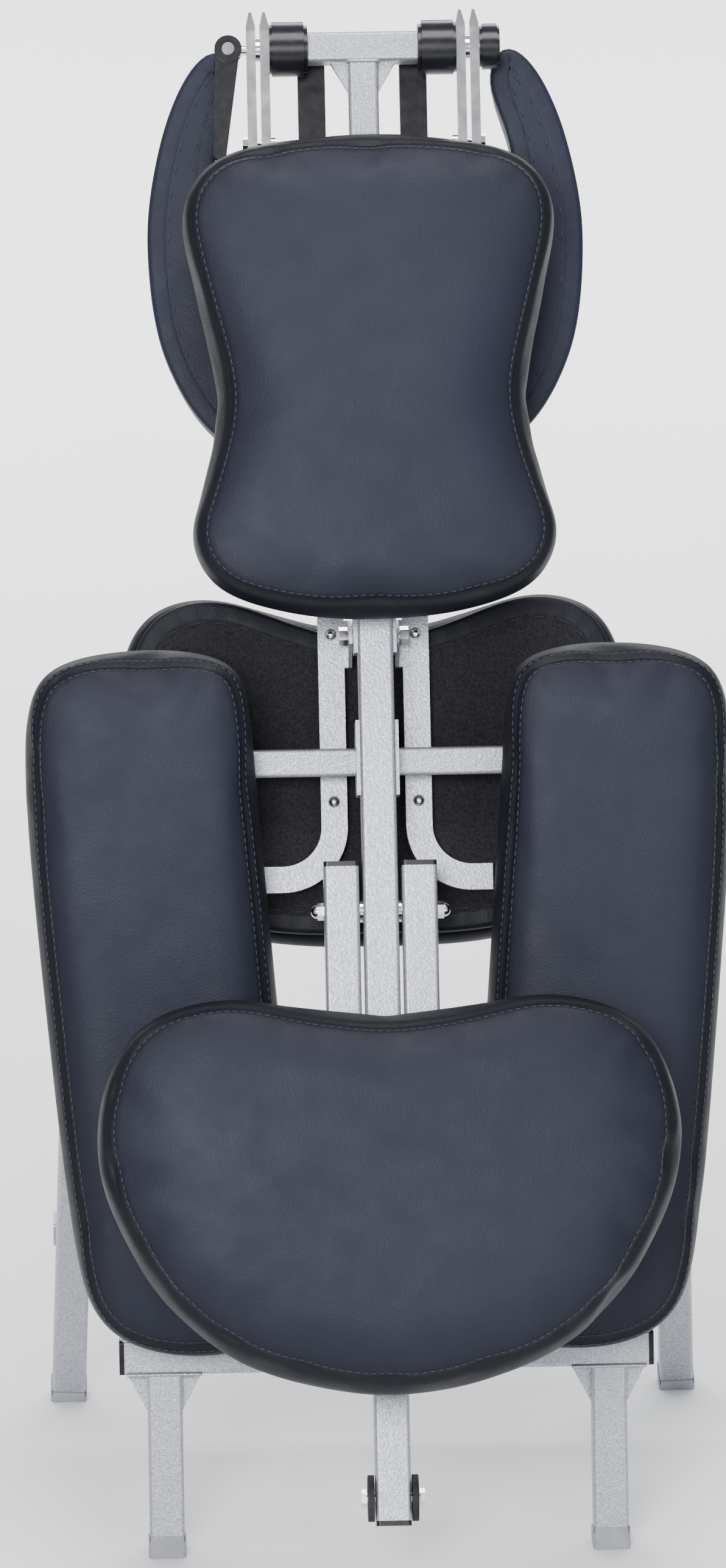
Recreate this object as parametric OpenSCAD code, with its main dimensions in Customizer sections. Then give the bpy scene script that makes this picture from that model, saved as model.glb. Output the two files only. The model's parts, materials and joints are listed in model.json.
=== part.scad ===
// Portable folding massage chair, standing on four feet with its seat, armrest and face cradle
// folded down. Millimetres, +Z up, sitter's side towards -Y, origin on the floor under the middle.
//
// Three leaning frames share the X axis. Each has local axes x (right), d (back) and s (up the frame):
// the knee frame stands on the rear feet, the spine crosses in front of it, and the front legs hinge
// near the tops of the side rails.

/* [Stance] */
// Lean of the knee frame from vertical, in degrees
knee_lean = 14; // [13:0.5:15]
// Lean of the spine from vertical, in degrees
spine_lean = 22; // [21:0.5:23]
// Lean of the front legs from vertical, in degrees
leg_lean = 18; // [16:0.5:20]
// Distance from the origin to the rear feet's centre line
rear_setback = 118.1; // [110:0.1:130]

/* [Tubes] */
// Width of the square frame tubes
tube_w = 28; // [26:1:30]
// Width of the crossbar and the front brace
bar_w = 22; // [18:1:22]
// Width of the cradle's stem and T tube
stem_w = 24; // [24:1:24]
// Wall of the tubes
tube_wall = 1.9; // [1.5:0.1:1.9]
// Corner radius of the tubes
tube_r = 3; // [2:0.5:4]

/* [Knee frame] */
// Distance from the centre to each side rail
rail_x = 196; // [190:1:200]
// Distance from the centre to each rear leg
rear_leg_x = 178; // [170:1:182]
// Height of the lower cross tube along the frame
lower_s = 158; // [150:1:165]
// Height of the crossbar along the frame
cross_s = 631; // [620:1:640]
// Height of the rails' tops along the frame
rail_top_s = 700; // [680:1:705]
// Height of the front legs' hinge along the frame
hinge_s = 662; // [655:1:670]
// Gap that the spacers keep between the rails and the knee boards
board_gap = 8; // [8:0.5:10]
// Thickness of the knee pads
knee_pad_t = 52; // [40:1:54]

/* [Front legs] */
// Distance from the centre to each front leg at its hinge
leg_top_x = 231; // [230:1:236]
// Distance from the centre to each front foot
leg_foot_x = 256; // [250:1:262]
// Height of the brace above the floor
brace_z = 150; // [120:1:180]

/* [Spine] */
// Spine height at which it crosses the crossbar
spine_cross_s = 630; // [620:1:640]
// Height of the spine's lower end
spine_low_s = 24; // [20:1:30]
// Height of the spine's upper end
spine_top_s = 1100; // [1090:1:1105]
// Height of the roller axle
axle_s = 42; // [40:1:46]
// Radius of the transport rollers
roller_r = 18.5; // [16:0.5:20]
// Thickness of the chest pad
chest_pad_t = 62; // [45:1:65]

/* [Seat arm] */
// Height of the seat's pivot on the spine
seat_pivot_s = 508; // [500:1:515]
// Height of the fork's upper ends
fork_top_s = 543; // [535:1:545]
// Height of the fork's lower ends
fork_low_s = 150; // [140:1:170]
// Stand-off of the seat board from the fork
riser_h = 38; // [36:1:42]
// Thickness of the seat pad
seat_pad_t = 75; // [50:1:76]

/* [Armrest] */
// Height of the armrest's pivot on the spine
arm_pivot_s = 732; // [728:1:736]
// Distance of the armrest's pivot behind the spine's centre
arm_pivot_d = 30; // [29:0.5:31]
// Distance of the armrest board's near face behind the spine's centre
arm_board_d = 54; // [53:0.5:56]
// Thickness of the armrest pad
arm_pad_t = 56; // [40:1:60]

/* [Face cradle] */
// Height of the T tube's axis along the spine
tee_s = 1204; // [1200:1:1208]
// Half length of the T tube
tee_half = 44; // [42:1:46]
// Travel of the stem
stem_travel = 90; // [60:5:90]
// Distance of the cradle board's near face behind the spine's centre
cradle_board_d = 22; // [20:0.5:24]
// Thickness of the face cushion
face_pad_t = 58; // [40:1:60]

/* [Boards] */
// Thickness of the boards under the pads
board_t = 12; // [10:1:12]
// Distance from a pad's edge in to its board's edge
board_inset = 11; // [8:1:16]

/* [Hidden] */
$fn = 32;
slack = 0.05;       // radial clearance of a running pin
gap = 0.3;          // clearance between parts that move past each other
seat_pin_r = 5;
arm_pin_r = 4;
leg_pin_r = 5;
rod_r = 4;
axle_r = 4;
stem_fit = 0.1;     // clearance of the stem in the spine, each side
plate = 3;          // thickness of the steel plates

cross_tilt = spine_lean - knee_lean;
spine_gap = tube_w / 2 + bar_w / 2 * (cos(cross_tilt) + sin(cross_tilt)) + 0.1;
cross_y = -rear_setback + cross_s * sin(knee_lean);
cross_z = cross_s * cos(knee_lean);
spine_y = cross_y - spine_cross_s * sin(spine_lean) - spine_gap * cos(spine_lean);
spine_z = cross_z - spine_cross_s * cos(spine_lean) + spine_gap * sin(spine_lean);
hinge_y = -rear_setback + hinge_s * sin(knee_lean);
hinge_z = hinge_s * cos(knee_lean);
leg_len = hinge_z / cos(leg_lean);
leg_splay = atan((leg_foot_x - leg_top_x) / leg_len);

fork_x = tube_w / 2 + 3 + tube_w / 2;                    // centre of each fork tube
knee_board_back = -tube_w / 2 - board_gap;
seat_board_back = -tube_w / 2 - riser_h;                 // d of the seat board's back face
chest_board_back = -tube_w / 2 - plate;
arm_bar_x = 34;
arm_bar_w = 21;
arm_bar_top_s = 752;
arm_bar_bend_s = 580;
arm_bar_bend_r = 42;
rail_inner_x = 75;                                       // chrome rail plates beside each hub
rail_outer_x = 86;
rail_t = 7.5;
rail_bolt_s = [-75, -130];                               // below the T tube's axis
rail_bolt_d = 6;
lever_x = 108;                                           // cam lever's pivot, on the left
pin_s = 1060;                                            // spring pin through the spine's side

// Right halves of the pads' outlines, [x, s], from the top of the centre line to its bottom
chest_half = [[0, 1124], [70, 1119], [125, 1104], [150, 1062], [137, 990], [121.5, 912],
              [135, 845], [147, 800], [125, 760], [65, 740], [0, 736]];
seat_half = [[0, 417], [60, 423], [130, 433], [195, 412], [226, 355], [227, 295],
             [209, 243], [174, 188], [110, 142], [0, 118]];
arm_half = [[0, 742], [55, 750], [130, 772], [182, 758], [205, 710], [207, 640],
            [190, 560], [145, 506], [75, 488], [0, 486]];
face_inner = [[0, 936], [70, 952], [111, 1005], [123, 1070], [119, 1130], [104, 1180]];
face_outer = [[116, 1208], [141, 1186], [163, 1130], [174, 1050], [160, 955], [108, 885], [0, 860]];
face_centre = [0, 1045];
// Right knee pad's outline, [x, s], clockwise from the middle of its top
knee_outline = [[185, 724], [245, 718], [276, 690], [281, 600], [268, 430], [251, 270], [233, 196],
                [187, 166], [115, 166], [79, 196], [71, 280], [82, 440], [94, 590], [103, 694], [127, 719]];

silver = [0.74, 0.75, 0.79];
grey = [0.42, 0.43, 0.47];
bright = [0.9, 0.9, 0.92];
black = [0.06, 0.06, 0.07];
vinyl = [0.12, 0.13, 0.19];
ply = [0.2, 0.18, 0.17];

// --- Curves ---

function catmull(a, b, c, d, t) =
    0.5 * (2 * b + (c - a) * t + (2 * a - 5 * b + 4 * c - d) * t * t + (3 * b - a - 3 * c + d) * t * t * t);
function smooth(p, steps = 6) = let (n = len(p))
    [for (i = [0 : n - 1], k = [0 : steps - 1])
        catmull(p[(i + n - 1) % n], p[i], p[(i + 1) % n], p[(i + 2) % n], k / steps)];
function mirrored(half) =
    concat(half, [for (i = [len(half) - 1 : -1 : 0]) if (half[i].x > 0) [-half[i].x, half[i].y]]);
function moved_in(p, centre, by) = [for (q = p) let (v = centre - q) q + v / norm(v) * by];
function flipped(p, side) = [for (q = p) [side * q.x, q.y]];

// --- Frames ---

module on_knee() translate([0, -rear_setback, 0]) rotate([-knee_lean, 0, 0]) children();
module on_spine() translate([0, spine_y, spine_z]) rotate([-spine_lean, 0, 0]) children();
module on_leg() translate([0, hinge_y, hinge_z]) rotate([leg_lean, 0, 0]) children();
module at(x, d, s) translate([x, d, s]) children();

// --- Shapes ---

module rounded_square(w, r) {
    square([w - 2 * r, w], center = true);
    square([w, w - 2 * r], center = true);
    for (x = [-1, 1], y = [-1, 1]) translate([x * (w / 2 - r), y * (w / 2 - r)]) circle(r);
}

// A square tube along +s from 0 to length
module tube(length, w = tube_w, wall = tube_wall) {
    linear_extrude(length) difference() {
        rounded_square(w, tube_r);
        rounded_square(w - 2 * wall, tube_r - wall + 0.2);
    }
}

// A square tube along x, centred
module cross_tube(length, w = tube_w) {
    translate([-length / 2, 0, 0]) rotate([0, 90, 0]) tube(length, w);
}

// A moulded plug: a flat cap and the block that fills the tube's mouth, cap on the +s side
module plug(w = tube_w, wall = tube_wall) {
    linear_extrude(4) rounded_square(w, tube_r);
    translate([0, 0, -12]) linear_extrude(12) rounded_square(w - 2 * wall - 0.2, 1);
}

module x_cylinder(r, x0, x1) translate([x0, 0, 0]) rotate([0, 90, 0]) cylinder(r = r, h = x1 - x0);
module d_cylinder(r, d0, d1) translate([0, d1, 0]) rotate([90, 0, 0]) cylinder(r = r, h = d1 - d0);

// An outline in x and s, from d_front to d_back
module slab(outline, d_front, d_back) {
    translate([0, d_back, 0]) rotate([90, 0, 0]) linear_extrude(d_back - d_front) polygon(outline);
}

// An outline in d and s, from x0 to x1
module side_plate(outline, x0, x1) {
    translate([x0, 0, 0]) rotate([90, 0, 90]) linear_extrude(x1 - x0) polygon(outline);
}

// The same plate welded to each side face of a tube
module plate_pair(outline) {
    for (x = [-tube_w / 2 - plate, tube_w / 2]) side_plate(outline, x, x + plate);
}

module hex_nut_x(x0, length, across) {
    translate([x0, 0, 0]) rotate([0, 90, 0]) cylinder(d = across / cos(30), h = length, $fn = 6);
}

// A domed nut that ends at x0 + side * (length + dome)
module dome_nut_x(side, x0, length, across) {
    hex_nut_x(side > 0 ? x0 : x0 - length, length, across);
    translate([x0 + side * length, 0, 0]) intersection() {
        sphere(r = across * 0.46);
        translate([side > 0 ? 0 : -across, -across, -across]) cube([across, 2 * across, 2 * across]);
    }
}

// A round-headed screw along d, its head's flat at d = 0 and its shank towards +d
module screw(length, head_r = 5) {
    d_cylinder(2.5, 0, length);
    intersection() {
        translate([0, 1.5, 0]) sphere(r = head_r);
        translate([-head_r, -2 * head_r, -head_r]) cube([2 * head_r, 2 * head_r, 2 * head_r]);
    }
}

// --- Knee frame ---

module side_rail(side) {
    color(silver) on_knee() difference() {
        at(side * rail_x, 0, lower_s + tube_w / 2) tube(rail_top_s - lower_s - tube_w / 2);
        at(0, 0, hinge_s) x_cylinder(leg_pin_r + slack, -300, 300);
    }
}

module crossbar() {
    color(bright) on_knee() at(0, 0, cross_s) cross_tube(2 * rail_x - tube_w, bar_w);
}

module lower_cross_tube() {
    color(silver) on_knee() at(0, 0, lower_s) cross_tube(2 * rail_x + tube_w);
}

module frame_plugs() {
    color(black) on_knee() for (side = [-1, 1]) {
        at(side * rail_x, 0, rail_top_s) plug();
        at(side * (rail_x + tube_w / 2), 0, lower_s) rotate([0, side * 90, 0]) plug();
    }
}

module rear_leg(side) {
    flare = [[0, 0], [0, -30], [16, 0]];
    color(silver) on_knee() {
        at(side * rear_leg_x, 0, 10) tube(lower_s - tube_w / 2 - 10);
        for (way = [-1, 1]) at(side * rear_leg_x + way * tube_w / 2, 0, lower_s - tube_w / 2)
            slab(flipped(flare, way), -4, 4);
    }
}

// A rubber boot on a leaning leg, cut flat on the floor
module boot(w) {
    difference() {
        translate([0, 0, -30]) linear_extrude(44) rounded_square(w + 2, tube_r + 1);
        translate([0, 0, 10]) linear_extrude(30) square(w + 0.2, center = true);
    }
}

module floor_cut() translate([-400, -600, -100]) cube([800, 1200, 100]);

module rear_feet() {
    color(grey) difference() {
        on_knee() for (side = [-1, 1]) at(side * rear_leg_x, 0, 0) boot(tube_w);
        floor_cut();
    }
}

module knee_board(side) {
    outline = moved_in(knee_outline, [175, 440], board_inset);
    color(ply) on_knee() slab(smooth(flipped(outline, side), 4), knee_board_back - board_t, knee_board_back);
}

module knee_spacers() {
    color(black) on_knee() for (side = [-1, 1], s = [230, 420, 610])
        at(side * rail_x - 12, knee_board_back, s) cube([24, board_gap, 30]);
}

module knee_pad(side) {
    back = knee_board_back - board_t;
    color(vinyl) on_knee() slab(smooth(flipped(knee_outline, side)), back - knee_pad_t, back);
}

module leg_bolts() {
    color(bright) on_knee() at(0, 0, hinge_s) for (side = [-1, 1]) {
        inner = rail_x - tube_w / 2;
        outer = leg_top_x + tube_w / 2 + 1;
        scale([side, 1, 1]) {
            x_cylinder(leg_pin_r, inner - 6, outer + 1);
            hex_nut_x(inner - 8, 8, 17);
            dome_nut_x(1, outer + 1, 6, 17);
            difference() {
                x_cylinder(12, rail_x + tube_w / 2, leg_top_x - tube_w / 2 - 1 - gap);
                x_cylinder(leg_pin_r - 0.5, 0, 300);
            }
        }
    }
}

// --- Spine ---

module spine_tube() {
    color(silver) on_spine() difference() {
        at(0, 0, spine_low_s) linear_extrude(spine_top_s - spine_low_s) difference() {
            rounded_square(tube_w, tube_r);
            rounded_square(stem_w + 2 * stem_fit, 1);
        }
        at(0, 0, axle_s) x_cylinder(axle_r + slack, -50, 50);
        at(0, 0, seat_pivot_s) x_cylinder(seat_pin_r + slack, -50, 50);
        at(0, 0, pin_s) x_cylinder(4 + slack, -50, 0);
    }
}

module spine_plug() {
    color(black) on_spine() at(0, 0, spine_low_s) mirror([0, 0, 1]) plug();
}

module spine_standoff() {
    color(silver) difference() {
        on_knee() at(-10, -tube_w / 2 - 90, lower_s - 9) cube([20, 90, 18]);
        on_spine() at(0, -60, 60) translate([-tube_w, 0, 0]) cube([2 * tube_w, 60 + tube_w / 2, 300]);
    }
}

module crossbar_gussets() {
    profile = [[-8, spine_cross_s - 30], [14, spine_cross_s - 30], [38, spine_cross_s - 14],
               [38, spine_cross_s + 14], [14, spine_cross_s + 30], [-8, spine_cross_s + 30]];
    color(silver) difference() {
        on_spine() plate_pair(profile);
        on_knee() at(-50, -bar_w / 2, cross_s - bar_w / 2) cube([100, bar_w, bar_w]);
    }
}

module armrest_lugs() {
    profile = [[-8, -18], [14, -18], [arm_pivot_d + 3, -11], [arm_pivot_d + 9, -6], [arm_pivot_d + 9, 6],
               [arm_pivot_d + 3, 11], [14, 18], [-8, 18]];
    color(silver) on_spine() at(0, 0, arm_pivot_s) difference() {
        plate_pair(profile);
        at(0, arm_pivot_d, 0) x_cylinder(arm_pin_r + slack, -50, 50);
    }
}

module chest_plate() {
    color(silver) on_spine() difference() {
        at(-60, chest_board_back, 830) cube([120, plate, 210]);
        for (x = [-45, 45], s = [850, 1020]) at(x, 0, s) d_cylinder(2.6, -40, 10);
    }
}

module chest_board() {
    outline = moved_in(chest_half, [0, 930], board_inset);
    color(ply) on_spine() difference() {
        slab(smooth(mirrored(outline), 4), chest_board_back - board_t, chest_board_back);
        for (x = [-45, 45], s = [850, 1020]) at(x, 0, s) d_cylinder(2.6, -40, 10);
    }
}

module chest_pad() {
    back = chest_board_back - board_t;
    color(vinyl) on_spine() slab(smooth(mirrored(chest_half)), back - chest_pad_t, back);
}

module chest_screws() {
    color(bright) on_spine() for (x = [-45, 45], s = [850, 1020])
        at(x, -tube_w / 2, s) mirror([0, 1, 0]) screw(14);
}

module roller_axle() {
    color(bright) on_spine() at(0, 0, axle_s) {
        x_cylinder(axle_r, -tube_w / 2 - 8, tube_w / 2 + 8);
        for (side = [-1, 1]) hex_nut_x(side > 0 ? tube_w / 2 + 7 : -tube_w / 2 - 11, 4, 13);
    }
}

module roller(side) {
    color(black) on_spine() at(0, 0, axle_s) scale([side, 1, 1]) difference() {
        x_cylinder(roller_r, tube_w / 2 + 1, tube_w / 2 + 6);
        x_cylinder(axle_r + slack, 0, 50);
    }
}

module seat_bolt() {
    washer_t = 2.6;
    outer = fork_x + tube_w / 2 + gap;
    color(bright) on_spine() at(0, 0, seat_pivot_s) {
        x_cylinder(seat_pin_r, -outer - 2, outer + 2);
        for (side = [-1, 1]) dome_nut_x(side, side * outer, 5, 12);
        for (x = [-tube_w / 2 - washer_t, tube_w / 2]) x_cylinder(9, x, x + washer_t);
    }
}

module armrest_bolt() {
    outer = tube_w / 2 + 2 * plate + 3 * gap;
    color(bright) on_spine() at(0, arm_pivot_d, arm_pivot_s) {
        x_cylinder(arm_pin_r, -outer - 2, outer + 2);
        for (side = [-1, 1]) hex_nut_x(side > 0 ? outer : -outer - 7, 7, 13);
    }
}

// --- Front legs, folding forward under the knee frame ---

module front_leg(side) {
    color(silver) on_leg() difference() {
        at(side * leg_top_x, 0, 0) rotate([0, -side * leg_splay, 0])
            at(0, 0, -leg_len + 12) tube(leg_len - 2);
        x_cylinder(leg_pin_r + slack, -300, 300);
    }
}

module front_brace() {
    down = leg_len - brace_z / cos(leg_lean);
    half = leg_foot_x + tube_w / 2 - 8;
    color(silver) on_leg() at(0, tube_w / 2 + bar_w / 2, -down) cross_tube(2 * half, bar_w);
    color(black) on_leg() at(0, tube_w / 2 + bar_w / 2, -down) for (side = [-1, 1])
        at(side * half, 0, 0) rotate([0, side * 90, 0]) plug(bar_w);
}

module front_feet() {
    color(grey) difference() {
        on_leg() for (side = [-1, 1])
            at(side * leg_top_x, 0, 0) rotate([0, -side * leg_splay, 0]) at(0, 0, -leg_len) boot(tube_w);
        floor_cut();
    }
    color(grey) on_leg() difference() {
        for (side = [-1, 1])
            at(side * leg_top_x, 0, 0) rotate([0, -side * leg_splay, 0]) at(0, 0, 10) plug();
        x_cylinder(leg_pin_r + slack, -300, 300);
    }
}

// --- Seat arm, hinged on the spine ---

module seat_fork(side) {
    color(silver) on_spine() difference() {
        at(side * fork_x, 0, fork_low_s) tube(fork_top_s - fork_low_s);
        at(0, 0, seat_pivot_s) x_cylinder(seat_pin_r + slack, -60, 60);
    }
}

module fork_plugs() {
    color(black) on_spine() for (side = [-1, 1]) {
        at(side * fork_x, 0, fork_top_s) plug();
        at(side * fork_x, 0, fork_low_s) mirror([0, 0, 1]) plug();
    }
}

seat_screw_places = [for (x = [-42, 42], s = [215, 345]) [x, s]];

module seat_riser() {
    color(silver) on_spine() {
        difference() {
            at(-52, seat_board_back, 195) cube([104, plate, 170]);
            for (p = seat_screw_places) at(p.x, 0, p.y) d_cylinder(2.6, -80, 0);
        }
        for (side = [-1, 1])
            at(side * fork_x - plate / 2, seat_board_back + plate, 205) cube([plate, riser_h - plate, 150]);
    }
}

module seat_board() {
    outline = moved_in(seat_half, [0, 285], board_inset);
    color(ply) on_spine() difference() {
        slab(smooth(mirrored(outline), 4), seat_board_back - board_t, seat_board_back);
        for (p = seat_screw_places) at(p.x, 0, p.y) d_cylinder(2.6, -80, 0);
    }
}

module seat_pad() {
    back = seat_board_back - board_t;
    color(vinyl) on_spine() slab(smooth(mirrored(seat_half)), back - seat_pad_t, back);
}

module seat_screws() {
    color(bright) on_spine() for (p = seat_screw_places)
        at(p.x, seat_board_back + plate, p.y) mirror([0, 1, 0]) screw(14);
}

// --- Armrest, hinged behind the spine ---

arm_screw_s = [735, 600];

module armrest_bar(side) {
    front = arm_board_d - board_t;
    centre_x = arm_bar_x + arm_bar_bend_r;
    color(silver) on_spine() scale([side, 1, 1]) difference() {
        union() {
            at(arm_bar_x - arm_bar_w / 2, front, arm_bar_bend_s)
                cube([arm_bar_w, board_t, arm_bar_top_s - arm_bar_bend_s]);
            at(centre_x, arm_board_d, arm_bar_bend_s) rotate([90, 0, 0]) rotate([0, 0, 180])
                rotate_extrude(angle = 90)
                    translate([arm_bar_bend_r - arm_bar_w / 2, 0]) square([arm_bar_w, board_t]);
            at(centre_x, front, arm_bar_bend_s - arm_bar_bend_r - arm_bar_w / 2)
                cube([16, board_t, arm_bar_w]);
        }
        for (s = arm_screw_s) at(arm_bar_x, 0, s) d_cylinder(2.6, 0, 100);
    }
}

module armrest_hinge() {
    front = arm_board_d - board_t;
    near = tube_w / 2 + plate + gap;
    bar_edge = arm_bar_x - arm_bar_w / 2;
    profile = [for (p = [[arm_pivot_d - 8, -7], [arm_pivot_d - 3, -11], [front, -24], [arm_board_d, -24],
                         [arm_board_d, 14], [front, 14], [arm_pivot_d - 3, 9], [arm_pivot_d - 8, 5]])
                   [p.x, arm_pivot_s + p.y]];
    color(silver) on_spine() for (side = [-1, 1]) scale([side, 1, 1]) {
        difference() {
            side_plate(profile, near, near + plate);
            at(0, arm_pivot_d, arm_pivot_s) x_cylinder(arm_pin_r + slack, 0, 50);
        }
        at(near + plate, front, arm_pivot_s - 24) cube([bar_edge - near - plate, board_t, 38]);
    }
}

module armrest_board() {
    outline = moved_in(arm_half, [0, 620], board_inset);
    color(ply) on_spine() difference() {
        slab(smooth(mirrored(outline), 4), arm_board_d, arm_board_d + board_t);
        for (side = [-1, 1], s = arm_screw_s) at(side * arm_bar_x, 0, s) d_cylinder(2.6, 0, 100);
    }
}

module armrest_pad() {
    color(vinyl) on_spine()
        slab(smooth(mirrored(arm_half)), arm_board_d + board_t, arm_board_d + board_t + arm_pad_t);
}

module armrest_screws() {
    color(bright) on_spine() for (side = [-1, 1], s = arm_screw_s)
        at(side * arm_bar_x, arm_board_d - board_t, s) screw(22);
}

// --- Cradle stem, sliding in the spine ---

module cradle_stem() {
    low = spine_top_s - stem_travel - 70;
    color(silver) on_spine() difference() {
        at(0, 0, low) tube(tee_s - stem_w / 2 - low, stem_w);
        at(-stem_w, -4.5, pin_s - stem_travel - 6) cube([stem_w, 9, stem_travel + 12]);
    }
}

module cradle_tee() {
    flare = [[0, 0], [0, -24], [14, 0]];
    color(silver) on_spine() {
        at(0, 0, tee_s) cross_tube(2 * tee_half, stem_w);
        for (way = [-1, 1]) at(way * stem_w / 2, 0, tee_s - stem_w / 2) slab(flipped(flare, way), -5, 5);
    }
}

module tee_bushes() {
    inner = stem_w - 2 * tube_wall - 1;
    color(black) on_spine() at(0, 0, tee_s) for (side = [-1, 1]) difference() {
        at(side * (tee_half - 7), 0, 0) cube([14, inner, inner], center = true);
        x_cylinder(rod_r + slack, -60, 60);
    }
}

// --- Face cradle, clamped on the T ---

module clamp_rod() {
    color(bright) on_spine() at(0, 0, tee_s) difference() {
        union() {
            x_cylinder(rod_r, -lever_x, 100);
            at(-lever_x, 0, 0) d_cylinder(6, -4, 4);
        }
        at(-lever_x, 0, 0) d_cylinder(3 + slack, -10, 10);
    }
}

module clamp_hubs() {
    near = tee_half + gap;
    color(black) on_spine() at(0, 0, tee_s) for (side = [-1, 1]) scale([side, 1, 1]) difference() {
        union() {
            x_cylinder(19, near, near + 3);
            x_cylinder(22, near + 3, rail_inner_x - 2);
            x_cylinder(20, rail_inner_x - 2, rail_inner_x);
        }
        x_cylinder(rod_r + slack, 0, 120);
    }
}

module rail_pair(side) {
    profile = [[-11, -150], [cradle_board_d, -150], [cradle_board_d, -45], [13, -25], [13, 14],
               [1, 31], [-11, 14]];
    bevel = [[rail_t / 2 + 1, 18], [rail_t / 2, 18], [0.8, 32], [rail_t / 2 + 1, 32]];
    color(bright) on_spine() at(0, 0, tee_s) scale([side, 1, 1]) difference() {
        union() {
            side_plate(profile, rail_inner_x, rail_inner_x + rail_t);
            side_plate(profile, rail_outer_x, rail_outer_x + rail_t);
            x_cylinder(10, rail_inner_x + rail_t, rail_outer_x);
        }
        x_cylinder(rod_r + slack, 0, 120);
        for (s = rail_bolt_s) at(0, rail_bolt_d, s) x_cylinder(2.5 + slack, 0, 120);
        for (x = [rail_inner_x, rail_outer_x], way = [-1, 1])
            at(x + rail_t / 2, 0, 0) slab(flipped(bevel, way), -30, 40);
    }
}

module rail_bolts() {
    color(bright) on_spine() for (side = [-1, 1], s = rail_bolt_s)
        scale([side, 1, 1]) at(0, rail_bolt_d, tee_s + s) {
            x_cylinder(2.5, rail_inner_x - 1, rail_outer_x + rail_t + 1);
            x_cylinder(5, rail_inner_x - 4, rail_inner_x);
            hex_nut_x(rail_outer_x + rail_t, 4, 9);
        }
}

module clamp_cap() {
    near = rail_outer_x + rail_t + 0.5;
    color(black) on_spine() at(0, 0, tee_s) difference() {
        union() {
            x_cylinder(16.5, near, near + 2);
            x_cylinder(18.5, near + 2, near + 14);
            x_cylinder(16.5, near + 14, near + 16);
        }
        x_cylinder(rod_r + slack, 0, near + 8);
    }
}

module cradle_arms() {
    color(black) on_spine() for (side = [-1, 1]) scale([side, 1, 1]) {
        at(30, cradle_board_d, 1100) cube([22, board_t, 106]);
        at(41, 0, 1206) d_cylinder(11, cradle_board_d, cradle_board_d + board_t);
    }
}

module cradle_board() {
    inner = moved_in(face_inner, face_centre, -8);
    outer = moved_in(face_outer, face_centre, 8);
    color(black) on_spine() {
        slab(smooth(mirrored(concat(inner, outer)), 5), cradle_board_d, cradle_board_d + board_t);
        at(-134, cradle_board_d, 1050) cube([268, board_t, 50]);
    }
}

module face_cushion() {
    back = cradle_board_d + board_t;
    color(vinyl) on_spine() slab(smooth(mirrored(concat(face_inner, face_outer))), back, back + face_pad_t);
}

// --- Cam lever ---

module cam_lever() {
    head = 11;
    tip = [-8, -84];
    tip_r = 5.5;
    tip_half = tip_r - 0.2;
    blade = [[head - 1, 3], [tip.x + tip_half, tip.y - 1], [tip.x - tip_half, tip.y - 1], [-head + 1, 3]];
    color(black) on_spine() at(-lever_x, 0, tee_s) difference() {
        union() {
            d_cylinder(head, -8, 8);
            slab(blade, -6, 6);
            at(tip.x, 0, tip.y) d_cylinder(tip_r, -5, 5);
        }
        at(-head - 1, -4.5, -7) cube([2 * head + 2, 9, 2 * head]);
        d_cylinder(3, -20, 20);
    }
}

module cam_rivet() {
    color(bright) on_spine() at(-lever_x, 0, tee_s) {
        d_cylinder(3, -9, 9);
        for (way = [-1, 1]) at(0, way * 9, 0) d_cylinder(5, way > 0 ? -1 : -0.5, way > 0 ? 0.5 : 1);
    }
}

// --- Spring pin that holds the stem's height ---

module pull_pin() {
    near = tube_w / 2 + 0.5;
    color(black) on_spine() at(0, 0, pin_s) scale([-1, 1, 1]) {
        x_cylinder(4, stem_w / 2 - 3, near + 6);
        x_cylinder(7, near, near + 12);
        x_cylinder(10.5, near + 12, near + 28);
    }
}

side_rail(-1);  // side_rail_left
side_rail(1);  // side_rail_right
crossbar();
lower_cross_tube();
frame_plugs();
rear_leg(-1);  // rear_leg_left
rear_leg(1);  // rear_leg_right
rear_feet();
spine_tube();
spine_plug();
spine_standoff();
crossbar_gussets();
armrest_lugs();
knee_board(-1);  // knee_board_left
knee_board(1);  // knee_board_right
knee_spacers();
knee_pad(-1);  // knee_pad_left
knee_pad(1);  // knee_pad_right
chest_plate();
chest_board();
chest_pad();
chest_screws();
roller_axle();
leg_bolts();
seat_bolt();
armrest_bolt();
front_leg(-1);  // front_leg_left
front_leg(1);  // front_leg_right
front_brace();
front_feet();
seat_fork(-1);  // seat_fork_left
seat_fork(1);  // seat_fork_right
fork_plugs();
seat_riser();
seat_board();
seat_pad();
seat_screws();
armrest_bar(-1);  // armrest_bar_left
armrest_bar(1);  // armrest_bar_right
armrest_hinge();
armrest_board();
armrest_pad();
armrest_screws();
cradle_stem();
cradle_tee();
tee_bushes();
clamp_rod();
clamp_hubs();
rail_pair(-1);  // rail_pair_left
rail_pair(1);  // rail_pair_right
clamp_cap();
cradle_arms();
cradle_board();
face_cushion();
rail_bolts();
cam_lever();
cam_rivet();
roller(-1);  // roller_left
roller(1);  // roller_right
pull_pin();
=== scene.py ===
"""Looks of the folding massage chair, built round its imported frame. Metres, +Z up, sitter's side -Y."""

import json
import math
import random

import bpy
import numpy as np
from mathutils import Matrix, Vector
from mathutils.bvhtree import BVHTree
from mathutils.geometry import delaunay_2d_cdt

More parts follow.
